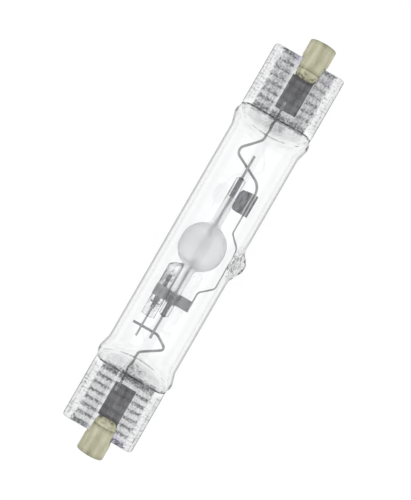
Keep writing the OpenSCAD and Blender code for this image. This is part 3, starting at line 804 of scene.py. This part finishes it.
def as_plain_mesh(obj, name):
    """A piece with the evaluated shape of an object, which is then removed."""
    bpy.context.view_layer.update()
    evaluated = obj.evaluated_get(bpy.context.evaluated_depsgraph_get())
    mesh = bpy.data.meshes.new_from_object(evaluated)
    mesh.name = name
    bpy.data.objects.remove(obj)
    return add_object(name, mesh)


def wire_piece(name, node, diameter, corners, bends, z):
    """A round wire through corners of the lamp's own frame, with its cut ends eased."""
    points = wire_path(corners, bends, z)
    curve = bpy.data.curves.new(name + "_path", "CURVE")
    curve.dimensions = "3D"
    spline = curve.splines.new("POLY")
    first, last = Vector(points[0]), Vector(points[-1])
    start = first + (Vector(points[1]) - first).normalized() * WIRE_EASE
    stop = last + (Vector(points[-2]) - last).normalized() * WIRE_EASE
    route = [first, start, *[Vector(p) for p in points[1:-1]], stop, last]
    spline.points.add(len(route) - 1)
    for i, (point, at) in enumerate(zip(spline.points, route)):
        point.co = (*place(at), 1)
        point.radius = 1 - 2 * WIRE_EASE / diameter * 0.8 if i in (0, len(route) - 1) else 1
    holder = add_object(name + "_path", curve)
    modifier = holder.modifiers.new("wire", "NODES")
    modifier.node_group = WIRE_TREE
    set_inputs(modifier, WIRE_TREE,
               {"Diameter": diameter * MM, "Sides": WIRE_SIDES, "Finish": WIRE})
    finish_piece(as_plain_mesh(holder, name), node)


CAPILLARY_R = 1.5
BAND_Z = min(ARC_Z - CAPILLARY_R - 0.05, WIRE_Z - FRAME_WIRE / 2 - STARTING_WIRE - 0.01)
STARTING_Z = BAND_Z + STARTING_WIRE / 2
STARTING_LOW = -(TUBE_R - WALL - STARTING_WIRE / 2 - 0.6)
CAPSULE_LEAD = 0.6
CAPSULE_Y = 4.25
CAPSULE_LEAD_Z = WIRE_Z + (FRAME_WIRE + CAPSULE_LEAD) / 2


def bent_wires():
    """The two bent frame wires and the thin starting wire."""
    lead_end = FOIL_X + WELD_L
    wire_piece("upper_wire", "upper_frame_wire", FRAME_WIRE,
               [(lead_end, UPPER_LEAD_Y), (35.5, UPPER_LEAD_Y), (29.2, 6.3), (23.2, -5.2),
                (17.3, -5.2)], [1.5, 1.9, 4.6], WIRE_Z)
    wire_piece("lower_wire", "lower_frame_wire", FRAME_WIRE,
               [(-lead_end, LOWER_LEAD_Y), (-35.2, LOWER_LEAD_Y), (-30.95, -5.2), (-28.2, -1),
                (-28.2, 7.1)], [1.4, 0.9, 2.6], WIRE_Z)
    wire_piece("start_wire", "starting_wire", STARTING_WIRE,
               [(20.2, -5.2), (7.8, -5.2), (4.3, STARTING_LOW + 0.2), (-8.6, STARTING_LOW),
                (-12, -5.05), (-18.4, -5.05)], [1.6, 2.6, 1.6, 1.4], STARTING_Z)


# The arc tube

def lathe(profile, y=0.0, z=0.0, sides=96, end=1):
    """Points and faces turned about the X axis, from a profile of places and radii."""
    points, faces, starts = [], [], []
    for at, radius in profile:
        starts.append(len(points))
        if radius < 1e-6:
            points.append([end * at, y, z])
            continue
        for j in range(sides):
            a = 2 * math.pi * j / sides
            points.append([end * at, y + radius * math.cos(a), z + radius * math.sin(a)])
    for i in range(len(profile) - 1):
        a, b = starts[i], starts[i + 1]
        for j in range(sides):
            k = (j + 1) % sides
            if profile[i][1] < 1e-6:
                faces.append([a, b + k, b + j])
            elif profile[i + 1][1] < 1e-6:
                faces.append([a + j, a + k, b])
            else:
                faces.append([a + j, a + k, b + k, b + j])
    return points, faces


def oriented(obj):
    """Turns the faces of a closed shell outwards."""
    work = bmesh.new()
    work.from_mesh(obj.data)
    bmesh.ops.remove_doubles(work, verts=work.verts, dist=1e-7)
    bmesh.ops.recalc_face_normals(work, faces=work.faces)
    work.to_mesh(obj.data)
    work.free()
    return obj


def arc(centre_x, centre_r, radius, start, stop, count):
    """Points on a round stretch of a profile, the angle measured from the X axis."""
    angles = [math.radians(start + (stop - start) * i / count) for i in range(count + 1)]
    return [(centre_x + radius * math.cos(a), centre_r + radius * math.sin(a)) for a in angles]


BALL_R = 6.78
BALL_WALL = 0.85
BALL_HALF = 0.4
CAPILLARY_BORE = 0.6
CAPILLARY_END = 22.35
CAPILLARY_LIP = 0.15
NECK = 1.6
# The dark solder glass fills each capillary from here to near its end.
FRIT_START = 15.2


def arc_tube():
    """The ceramic ball with its two capillaries, hollow right through."""
    neck_r = CAPILLARY_R + NECK
    neck_x = math.sqrt((BALL_R + NECK) ** 2 - neck_r ** 2)
    lean = math.degrees(math.atan2(neck_r, neck_x))
    inner_r = BALL_R - BALL_WALL
    bore_x = math.sqrt(inner_r ** 2 - CAPILLARY_BORE ** 2)
    bore_angle = math.degrees(math.atan2(CAPILLARY_BORE, bore_x))
    half = arc(BALL_HALF, 0, BALL_R, 90, lean, 40)
    half += arc(BALL_HALF + neck_x, neck_r, NECK, 180 + lean, 270, 10)[1:]
    half += [(CAPILLARY_END - CAPILLARY_LIP, CAPILLARY_R),
             (CAPILLARY_END, CAPILLARY_R - CAPILLARY_LIP), (CAPILLARY_END, CAPILLARY_BORE),
             (CAPILLARY_END - 6, CAPILLARY_BORE), (BALL_HALF + bore_x, CAPILLARY_BORE)]
    half += arc(BALL_HALF, 0, inner_r, bore_angle, 90, 34)[1:]
    outline = half + [(-x, r) for x, r in reversed(half)] + [half[0]]
    obj = oriented(mesh_piece("arc_tube_body", *lathe(outline, ARC_Y, ARC_Z), ALUMINA))
    obj.data.shade_smooth()
    along, y, _ = own_points(obj).T
    distance = np.abs(along)
    # Painted shade of what lies inside: a soft dark patch in the middle of the ball round the
    # electrodes, and a dark core along each capillary over its solder glass.
    painted_core_shade = bell(along, 0.8, 3.2) * bell(y, ARC_Y + 0.4, 3.3)
    painted_core_shade += 0.9 * smooth_step(FRIT_START, 15.8, distance) * smooth_step(22.3, 21.6, distance)
    set_attribute(obj, "painted_core_shade", painted_core_shade)
    frosted = 0.68 + 0.32 * smooth_step(4.4, 6.0, distance)
    set_attribute(obj, "frosted", frosted * smooth_step(9.2, 7.6, distance))
    finish_piece(obj, "arc_tube")


# The caps

CAP_Y = -1.0
CAP_END = 67.7
CHEEK_END = 58.45
CHEEK_TAPER = 2.4
CHEEK_R = 3.85
GROOVE = 0.09
HEAD_X = 62.9
HEAD_R = 4.15
HEAD_EDGE = 0.4
LIP_R = 2.9
LIP_EDGE = 0.2
RECESS_X = 66.0
SEAT_X = 64.8
SEAT_R = 2.5
STEM_R = 1.45
SLOT = 1.7


def boolean_cut(obj, low, high):
    """Cuts a box between two corners of the lamp's own frame out of a piece."""
    corners = [(x, y, z) for x in (low[0], high[0]) for y in (low[1], high[1])
               for z in (low[2], high[2])]
    sides = [[0, 1, 3, 2], [4, 6, 7, 5], [0, 4, 5, 1], [2, 3, 7, 6], [0, 2, 6, 4], [1, 5, 7, 3]]
    cutter = oriented(mesh_piece("cutter", corners, sides, obj.data.materials[0], smooth=False))
    cut = obj.modifiers.new("cut", "BOOLEAN")
    cut.operation = "DIFFERENCE"
    cut.solver = "EXACT"
    cut.object = cutter
    name = obj.name
    obj.name = name + "_uncut"
    made = as_plain_mesh(obj, name)
    bpy.data.objects.remove(cutter)
    return made


def sharpen(obj, angle=32):
    """Keeps edges sharp where two faces meet at more than an angle, and the rest smooth."""
    work = bmesh.new()
    work.from_mesh(obj.data)
    limit = math.radians(angle)
    for edge in work.edges:
        edge.smooth = len(edge.link_faces) == 2 and edge.calc_face_angle(0) < limit
    for face in work.faces:
        face.smooth = True
    work.to_mesh(obj.data)
    work.free()


def ceramic_cap(end, name, node):
    """A cap with eased edges, a recess for its contact and two cheeks with rounded ends."""
    nose = [(CHEEK_END - CHEEK_TAPER * math.cos(a), SLOT + (CHEEK_R - SLOT) * math.sin(a))
            for a in np.linspace(0, math.pi / 2, 14)]
    groove = [(CHEEK_END + 0.1, CHEEK_R), (CHEEK_END + 0.2, CHEEK_R - GROOVE),
              (CHEEK_END + 0.32, CHEEK_R - GROOVE), (CHEEK_END + 0.42, CHEEK_R)]
    body = [(CHEEK_END + 1.5, CHEEK_R + 0.01), (HEAD_X - 1.2, CHEEK_R + 0.02),
            (HEAD_X - 0.9, CHEEK_R + 0.05), (HEAD_X - 0.3, HEAD_R - 0.07), (HEAD_X, HEAD_R),
            (HEAD_X + 1.6, HEAD_R), (CAP_END - 1.5, HEAD_R)]
    corner = arc(CAP_END - HEAD_EDGE, HEAD_R - HEAD_EDGE, HEAD_EDGE, 90, 0, 8)
    lip = arc(CAP_END - LIP_EDGE, LIP_R, LIP_EDGE, 0, -90, 5)
    recess = [(RECESS_X, LIP_R - LIP_EDGE), (RECESS_X, SEAT_R), (SEAT_X, SEAT_R),
              (SEAT_X, STEM_R), (GLASS_END, STEM_R), (GLASS_END, 0.0)]
    outline = [(CHEEK_END - CHEEK_TAPER, 0.0), *nose, *groove, *body, *corner, *lip, *recess]
    points, faces = lathe(outline, CAP_Y, 0.0, sides=128, end=end)
    obj = oriented(mesh_piece(name, points, faces, CAP_CERAMIC))
    low, high = sorted((end * (CHEEK_END - CHEEK_TAPER - 1), end * (GLASS_END + 0.2)))
    obj = boolean_cut(obj, (low, -7, -SLOT), (high, 7, SLOT))
    sharpen(obj)
    x, y, z = own_points(obj).T
    along = np.abs(x)
    wavy = uneven(x, y, z, 1.2, 13 + end)
    # Painted shade in the groove behind the cheeks.
    crease = bell(along, CHEEK_END + 0.26, 0.22) * (0.75 + 0.5 * wavy)
    # Painted shade along the end's rim.
    rim = 0.6 * smooth_step(CAP_END - 0.75, CAP_END - 0.15, along) * (0.85 + 0.6 * wavy)
    # Painted shade down the middle of the top, which the side lamps light least.
    middle = bell(y, CAP_Y - 0.2, 1.1) * (z > 0)
    rim = rim + 0.22 * middle * smooth_step(CHEEK_END, CHEEK_END + 1.5, along)
    nose_dirt = 0.9 * smooth_step(CHEEK_END, CHEEK_END - 1.2, along)
    nose_dirt = nose_dirt * patches(x, y, z, 0.8, 17, 0.0, 0.5)
    # The attribute carries the painted shade and the nose dirt together.
    set_attribute(obj, "dirt_and_painted_light", np.clip(crease + rim + nose_dirt, 0, 1))
    finish_piece(obj, node)


# The getter's strip

HOLDER_Y = -5.2
HOLDER_HALF = 1.2
HOLDER_L = 6.8
STRIP = 0.15
RIDGES = (-0.42, 0.55)
GETTER_X = 17.1
GETTER_R = 3.3
GETTER_TILT = math.radians(70)
HOLDER_FRONT = WIRE_Z + FRAME_WIRE / 2 + 0.05


def strip_outline():
    """The closed fold in Y and Z, as its outside with two fine grooves and its inside."""
    front, back = HOLDER_FRONT + STRIP, BAND_Z - STRIP
    left, right = HOLDER_Y - HOLDER_HALF, HOLDER_Y + HOLDER_HALF
    outside = []
    for y in np.linspace(-HOLDER_HALF + 0.12, HOLDER_HALF - 0.02, 44):
        groove = 0.1 * sum(bell(y, at, 0.1) for at in RIDGES)
        outside.append((HOLDER_Y + y, front - 0.02 - groove))
    outside += [(right, front - 0.05), (right, back + 0.1), (right - 0.1, back),
                (left + 0.1, back), (left, back + 0.1), (left, front - 0.12)]
    inside = [(left + STRIP, HOLDER_FRONT - 0.02), (left + STRIP, BAND_Z),
              (right - STRIP, BAND_Z), (right - STRIP, HOLDER_FRONT - 0.02)]
    return outside, inside


def folded_strip():
    """Points and faces of the fold, closed at both ends between its outside and inside."""
    outer, inner = strip_outline()
    ends = (GETTER_X - HOLDER_L / 2, GETTER_X + HOLDER_L / 2)
    points = [[x, y, z] for x in ends for y, z in outer + inner]
    m, n = len(outer), len(inner)
    far = m + n
    faces = [[i, (i + 1) % m, far + (i + 1) % m, far + i] for i in range(m)]
    faces += [[m + (i + 1) % n, m + i, far + m + i, far + m + (i + 1) % n] for i in range(n)]
    sheet = bmesh.new()
    for x in ends:
        loops = [[sheet.verts.new((x, y, z)) for y, z in loop] for loop in (outer, inner)]
        edges = [sheet.edges.new((loop[i], loop[(i + 1) % len(loop)]))
                 for loop in loops for i in range(len(loop))]
        bmesh.ops.triangle_fill(sheet, use_beauty=True, use_dissolve=False, edges=edges)
    sheet.verts.index_update()
    shift = len(points)
    points += [list(v.co) for v in sheet.verts]
    faces += [[shift + v.index for v in face.verts] for face in sheet.faces]
    sheet.free()
    return points, faces


def round_plate():
    """Points and faces of the tilted, round ended plate that carries the getter's cup."""
    plate_r = GETTER_R + 0.1
    reach = GETTER_R + 0.15
    rim = [(-plate_r, 0.0)] + [(-plate_r * math.cos(a), reach + plate_r * math.sin(a))
                               for a in np.linspace(0, math.pi, 40)] + [(plate_r, 0.0)]
    c, t = math.cos(GETTER_TILT), math.sin(GETTER_TILT)
    points = [[GETTER_X + x, HOLDER_Y + HOLDER_HALF + along * c + up * t,
               HOLDER_FRONT + STRIP - 0.02 - along * t + up * c]
              for up in (0.0, -STRIP) for x, along in rim]
    count = len(rim)
    faces = [list(range(count)), [count + i for i in reversed(range(count))]]
    faces += [[i, count + i, count + (i + 1) % count, (i + 1) % count] for i in range(count)]
    return points, faces


def getter_strip():
    """The strip folded round the wires, with its plate and painted highlights along its grooves.
    """
    points, faces = join_meshes([folded_strip(), round_plate()])
    obj = oriented(mesh_piece("getter_strip", points, faces, GETTER_STEEL))
    sharpen(obj)
    _, y, z = own_points(obj).T
    off = y - HOLDER_Y
    # Painted highlights: pale lines along the two grooves on the strip's front face.
    lines = sum(bell(off, at, 0.13) for at in RIDGES)
    on_face = (z > HOLDER_FRONT - 0.1) & (off < HOLDER_HALF)
    set_attribute(obj, "dirt_and_painted_light", np.clip(lines, 0, 1) * on_face)
    finish_piece(obj, "getter_holder")


# The small capsule

CAPSULE_R = 2.1
CAPSULE_BORE = 1.55
CAPSULE_LEFT = -25.0
CAPSULE_RIGHT = -7.25
CAPSULE_PRESS = -19.4
CAPSULE_DOME = 0.42
CAPSULE_LEAN = 0.44
PRESS_HALF = 0.95
CAPSULE_Z = CAPSULE_LEAD_Z - (FOIL_T + CAPSULE_LEAD) / 2


def capsule_skin(radius, left, right, sides=72):
    """Rings of the capsule from its squeezed end to its flat domed end, which leans over."""
    reach = CAPSULE_DOME * radius
    round_x = right - reach
    straight = np.arange(left, round_x, 0.22)
    dome = round_x + reach * np.sin(np.linspace(0, math.pi / 2, 14)[:-1])
    around = np.arange(sides) * 2 * np.pi / sides
    rings = []
    for x in [*straight, *dome]:
        size = radius * (1 - max((x - round_x) / reach, 0) ** 2.6) ** (1 / 2.6)
        if x < left + 0.3 and radius > CAPSULE_BORE:
            size *= math.sqrt(max(1 - ((left + 0.3 - x) / 0.32) ** 2, 0.02))
        y, z = size * np.cos(around), size * np.sin(around)
        flat = 1 - smooth_step(CAPSULE_PRESS - 1.6, CAPSULE_PRESS + 0.1, x)
        z = z * (1 - flat) + flat * np.clip(z, -PRESS_HALF, PRESS_HALF)
        lean = -CAPSULE_LEAN * y * max(0.0, min(1.0, (x - round_x + 1.6) / 2.2))
        rings.append(np.stack([x + lean, CAPSULE_Y + y, CAPSULE_Z + z], axis=-1))
    return np.array(rings)


def closed_rings(rings, inward=False):
    """Points and faces of a tube through rings, closed by a point at each end."""
    count, sides = rings.shape[:2]
    points = rings.reshape(-1, 3).tolist()
    faces = ring_quads(count, sides)
    for ring, flip in ((0, True), (count - 1, False)):
        middle = len(points)
        points.append(rings[ring].mean(axis=0).tolist())
        for j in range(sides):
            a, b = ring * sides + j, ring * sides + (j + 1) % sides
            faces.append([b, a, middle] if flip else [a, b, middle])
    return points, turned_over(faces) if inward else faces


def enhancer_glass():
    """The small quartz capsule, squeezed flat at one end over its foil, with painted shade on its
    glass.
    """
    outer = capsule_skin(CAPSULE_R, CAPSULE_LEFT, CAPSULE_RIGHT)
    inner = capsule_skin(CAPSULE_BORE, CAPSULE_PRESS + 0.8, CAPSULE_RIGHT - 0.55)
    parts = [closed_rings(outer), closed_rings(inner, inward=True)]
    points, faces = join_meshes(parts)
    obj = mesh_piece("enhancer_glass", points, faces, CAPSULE_QUARTZ)
    x, y, z = np.array(points).T
    # Painted shade: dark blotches along the middle of the capsule, and grey over its flattened
    # end.
    blotch = uneven(x * 0.6, y, z, 0.9, 21)
    shade = 0.05 + bell(x, -13.6, 4.6) * (0.2 + 0.8 * smooth_step(-0.05, 0.3, blotch))
    pressed_end = smooth_step(CAPSULE_PRESS, CAPSULE_PRESS - 1.0, x)
    shade = shade + pressed_end * (0.1 + 0.35 * smooth_step(0.0, 0.5, blotch))
    is_outer = np.arange(len(points)) < len(parts[0][0])
    set_attribute(obj, "pressed", np.where(is_outer, shade, 0.03))
    set_attribute(obj, "violet", np.zeros(len(points)))
    # Painted edge shade, weaker on the inner skin.
    set_attribute(obj, "outline", np.where(is_outer, 1.0, 0.35))
    finish_piece(obj, "enhancer_capsule")


# The pieces that keep the shape of their CAD node, each with its material and slot
END_FINISHES = {
    "cement": (CEMENT, "cement"), "contact": (CONTACT, "contact_metal"),
    "outer_lead": (WIRE, "wire_metal"), "foil": (FOIL, "foil_metal"),
    "frit_seal": (FRIT, "frit"), "niobium_lead": (WIRE, "wire_metal"),
    "feedthrough": (TUNGSTEN, "tungsten"), "electrode": (TUNGSTEN, "tungsten"),
    "electrode_winding": (TUNGSTEN, "tungsten")}
FINISHES = {f"{end}_{part}": finish for end in ("lower", "upper")
            for part, finish in END_FINISHES.items()}
FINISHES.update({
    "getter_cup": (GETTER_CUP, "getter_steel"), "getter_fill": (GETTER_FILL, "getter_fill"),
    "enhancer_foil": (FOIL, "foil_metal"), "enhancer_lead": (WIRE, "wire_metal"),
    "enhancer_band": (BAND, "band_metal")})


def dressed_nodes():
    for node, (material, slot) in FINISHES.items():
        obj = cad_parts[node]
        obj.data.materials.clear()
        obj.data.materials.append(material)


# Stage, camera and light

# The picture is 500 high and takes in 144.0 mm of the lamp's plane from 350 mm above it.
LAMP_ON_PICTURE = (0.4993, 0.8664)
VIEW_DISTANCE = 350.0
VIEW_HEIGHT = 144.0
VIEW_CENTRE = (-0.24, -0.8, 0.0)
SENSOR = 36.0


def photo_camera():
    camera = bpy.data.cameras.new("camera")
    camera.sensor_width = SENSOR
    camera.lens = SENSOR * VIEW_DISTANCE / VIEW_HEIGHT
    camera.clip_start = 0.01
    holder = add_object("camera", camera)
    along, up = LAMP_ON_PICTURE
    right_axis, up_axis, back_axis = (along, -up, 0), (up, along, 0), (0, 0, 1)
    at = place(VIEW_CENTRE) + np.array([0, 0, VIEW_DISTANCE * MM])
    turn = Matrix((right_axis, up_axis, back_axis)).transposed().to_4x4()
    holder.matrix_world = Matrix.Translation(at) @ turn
    bpy.context.scene.camera = holder


FLOOR_REACH = 1.5
# How much of the floor's look is plain white, and how much is its own surface with shadows
FLOOR_WHITE = 0.84


def white_floor():
    """A pale floor that is white to the eye and in glass, and keeps a faint shadow."""
    material, tree, shader, output = new_material(
        "pale_floor", {"Base Color": rgb(0.86, 0.86, 0.86), "Roughness": 0.9,
                       "Specular IOR Level": 0.1})
    glow = add_node(tree, "ShaderNodeEmission", {"Strength": 1.06})
    rays = add_node(tree, "ShaderNodeLightPath")
    either = add_node(tree, "ShaderNodeMath", operation="MAXIMUM")
    seen = add_node(tree, "ShaderNodeMath", operation="MAXIMUM")
    share = add_node(tree, "ShaderNodeMath", {1: FLOOR_WHITE}, operation="MULTIPLY")
    mix = add_node(tree, "ShaderNodeMixShader")
    connect(tree, (rays, "Is Camera Ray", either, 0), (rays, "Is Glossy Ray", either, 1),
            (either, 0, seen, 0), (rays, "Is Transmission Ray", seen, 1), (seen, 0, share, 0),
            (share, 0, mix, 0), (shader, 0, mix, 1), (glow, 0, mix, 2),
            (mix, 0, output, "Surface"))
    far = FLOOR_REACH
    mesh = bpy.data.meshes.new("floor")
    mesh.from_pydata([(-far, -far, 0), (far, -far, 0), (far, far, 0), (-far, far, 0)], [],
                     [[0, 1, 2, 3]])
    mesh.materials.append(material)
    floor = add_object("floor", mesh)


def studio_world():
    """Even white light from above that dims toward the horizon."""
    world = bpy.data.worlds.new("studio")
    bpy.context.scene.world = world
    world.use_nodes = True
    tree = world.node_tree
    background = tree.nodes["Background"]
    background.inputs["Color"].default_value = rgb(1.0, 1.0, 1.0)
    where = add_node(tree, "ShaderNodeTexCoord")
    split = add_node(tree, "ShaderNodeSeparateXYZ")
    connect(tree, (where, "Generated", split, 0))
    rise = remapped(tree, split.outputs["Z"],
                    {"From Min": 0.0, "From Max": 0.6, "To Min": 0.6, "To Max": 0.85})
    rays = add_node(tree, "ShaderNodeLightPath")
    plain = add_node(tree, "ShaderNodeMath", operation="MAXIMUM")
    tree.links.new(rise, plain.inputs[0])
    connect(tree, (rays, "Is Camera Ray", plain, 1), (plain, 0, background, "Strength"))


SOFT_BOX_SIDE = 0.55
SOFT_BOX_HEIGHT = 0.5
SOFT_BOX_ALONG = 0.05
SOFT_BOX_SIZE = (0.9, 0.35)
SOFT_BOX_POWER = 0.8


def soft_box(name, side):
    """A soft lamp that looks at the middle of the bulb from one side."""
    light = bpy.data.lights.new(name, "AREA")
    light.shape = "RECTANGLE"
    light.size, light.size_y = SOFT_BOX_SIZE
    light.energy = SOFT_BOX_POWER
    holder = add_object(name, light)
    at = Vector((SOFT_BOX_ALONG, side * SOFT_BOX_SIDE, SOFT_BOX_HEIGHT))
    holder.matrix_world = Matrix.Translation(at) @ at.to_track_quat("Z", "X").to_matrix().to_4x4()


bulb_glass()
bent_wires()
arc_tube()
ceramic_cap(-1, "lower_cap_body", "lower_cap")
ceramic_cap(1, "upper_cap_body", "upper_cap")
getter_strip()
enhancer_glass()
dressed_nodes()

photo_camera()
white_floor()
studio_world()
soft_box("left_box", 1)
soft_box("right_box", -1)
bpy.context.scene.view_settings.view_transform = "Standard"
